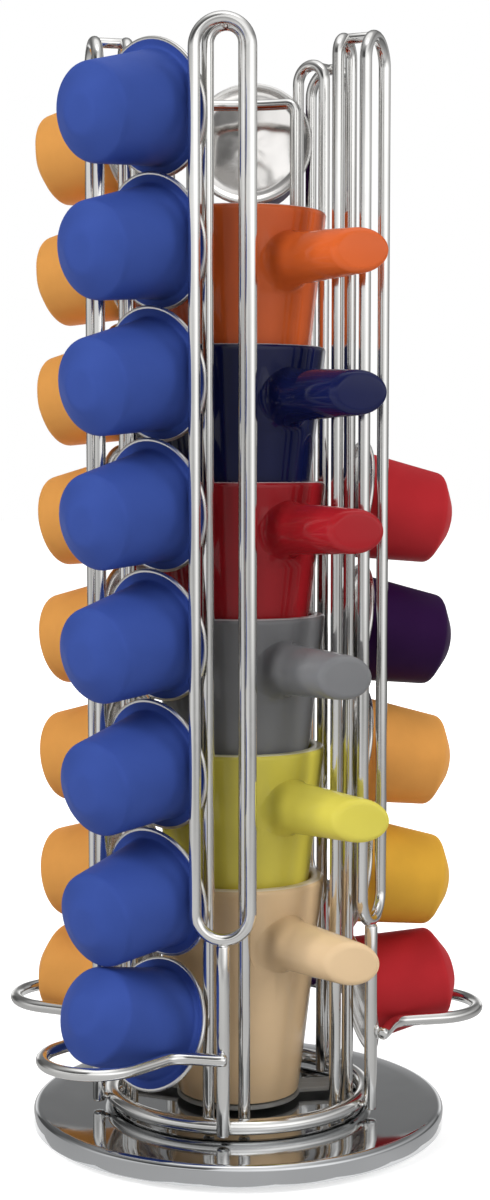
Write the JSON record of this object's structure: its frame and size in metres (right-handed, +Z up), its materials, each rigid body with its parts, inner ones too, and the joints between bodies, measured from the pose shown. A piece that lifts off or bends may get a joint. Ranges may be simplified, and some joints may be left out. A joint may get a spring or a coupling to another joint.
{
  "type": "coffee capsule dispenser",
  "caption": "Revolving chrome wire tower that holds columns of coffee capsules by their rims around a stack of nested peg-handled espresso cups, on a round mirror base.",
  "frame": {"origin": "on the table, under the axis that the tower turns about", "axes": "+Z up along the turning axis, -Y towards the front, +X to the right seen from the front"},
  "size_m": [0.1391, 0.1309, 0.3056],
  "materials": {
    "chrome": "polished chrome plate on steel wire",
    "base_chrome": "mirror polished chrome plate",
    "zinc": "bright zinc plate",
    "nylon": "plain moulded",
    "rubber": "plain black sheet",
    "capsule_blue": "satin anodised, coloured",
    "capsule_gold": "satin anodised, coloured",
    "capsule_purple": "satin anodised, coloured",
    "capsule_red": "satin anodised, coloured",
    "capsule_yellow": "satin anodised, coloured",
    "cup_orange_glaze": "stands in for glossy ceramic glaze",
    "cup_navy_glaze": "stands in for glossy ceramic glaze",
    "cup_red_glaze": "stands in for glossy ceramic glaze",
    "cup_grey_glaze": "stands in for glossy ceramic glaze",
    "cup_lime_glaze": "stands in for glossy ceramic glaze",
    "cup_beige_glaze": "stands in for glossy ceramic glaze"
  },
  "bodies": {
    "base": {"base_disc": "base_chrome", "foot_pad": "rubber", "pivot_rivet": "zinc", "bearing_washer": "nylon"},
    "tower": {"hub_plate": "zinc", "base_ring": "chrome", "post_front": "chrome", "post_right": "chrome", "post_back_right": "chrome", "post_back_left": "chrome", "post_left": "chrome", "outer_loop_front": "chrome", "outer_loop_right": "chrome", "outer_loop_back_right": "chrome", "outer_loop_back_left": "chrome", "outer_loop_left": "chrome", "inner_loop_front": "chrome", "inner_loop_right": "chrome", "inner_loop_back_right": "chrome", "inner_loop_back_left": "chrome", "inner_loop_left": "chrome", "back_bridge": "chrome", "stop_wire": "chrome", "capsule_blue_1": "capsule_blue", "capsule_blue_2": "capsule_blue", "capsule_blue_3": "capsule_blue", "capsule_blue_4": "capsule_blue", "capsule_blue_5": "capsule_blue", "capsule_blue_6": "capsule_blue", "capsule_blue_7": "capsule_blue", "capsule_gold_1": "capsule_gold", "capsule_gold_2": "capsule_gold", "capsule_gold_3": "capsule_gold", "capsule_gold_4": "capsule_gold", "capsule_gold_5": "capsule_gold", "capsule_gold_6": "capsule_gold", "capsule_gold_7": "capsule_gold", "capsule_back_1": "capsule_purple", "capsule_back_2": "capsule_purple", "capsule_back_3": "capsule_purple", "capsule_back_4": "capsule_purple", "capsule_back_5": "capsule_purple", "capsule_back_6": "capsule_purple", "capsule_back_7": "capsule_purple", "capsule_right_1": "capsule_red", "capsule_right_2": "capsule_yellow", "capsule_right_3": "capsule_gold", "capsule_right_4": "capsule_purple"},
    "cup_beige_body": {"cup_beige": "cup_beige_glaze"},
    "cup_lime_body": {"cup_lime": "cup_lime_glaze"},
    "cup_grey_body": {"cup_grey": "cup_grey_glaze"},
    "cup_red_body": {"cup_red": "cup_red_glaze"},
    "cup_navy_body": {"cup_navy": "cup_navy_glaze"},
    "cup_orange_body": {"cup_orange": "cup_orange_glaze"},
    "capsule_blue_8_body": {"capsule_blue_8": "capsule_blue"},
    "capsule_gold_8_body": {"capsule_gold_8": "capsule_gold"},
    "capsule_back_8_body": {"capsule_back_8": "capsule_purple"},
    "capsule_right_5_body": {"capsule_right_5": "capsule_red"}
  },
  "joints": [
    {"name": "tower_turn", "type": "hinge", "parent": "base", "child": "tower", "pos_m": [0, 0, 0.0096], "axis": [0, 0, 1], "continuous": true},
    {"name": "cup_beige_lift", "type": "slide", "parent": "tower", "child": "cup_beige_body", "axis": [0, 0, 1], "range_m": [0, 0.03]},
    {"name": "cup_lime_lift", "type": "slide", "parent": "cup_beige_body", "child": "cup_lime_body", "axis": [0, 0, 1], "range_m": [0, 0.03]},
    {"name": "cup_grey_lift", "type": "slide", "parent": "cup_lime_body", "child": "cup_grey_body", "axis": [0, 0, 1], "range_m": [0, 0.03]},
    {"name": "cup_red_lift", "type": "slide", "parent": "cup_grey_body", "child": "cup_red_body", "axis": [0, 0, 1], "range_m": [0, 0.03]},
    {"name": "cup_navy_lift", "type": "slide", "parent": "cup_red_body", "child": "cup_navy_body", "axis": [0, 0, 1], "range_m": [0, 0.03]},
    {"name": "cup_orange_lift", "type": "slide", "parent": "cup_navy_body", "child": "cup_orange_body", "axis": [0, 0, 1], "range_m": [0, 0.11]},
    {"name": "capsule_blue_8_lift", "type": "slide", "parent": "tower", "child": "capsule_blue_8_body", "axis": [0, 0, 1], "range_m": [0, 0.041]},
    {"name": "capsule_gold_8_lift", "type": "slide", "parent": "tower", "child": "capsule_gold_8_body", "axis": [0, 0, 1], "range_m": [0, 0.041]},
    {"name": "capsule_back_8_lift", "type": "slide", "parent": "tower", "child": "capsule_back_8_body", "axis": [0, 0, 1], "range_m": [0, 0.041]},
    {"name": "capsule_right_5_lift", "type": "slide", "parent": "tower", "child": "capsule_right_5_body", "axis": [0, 0, 1], "range_m": [0, 0.148]}
  ]
}
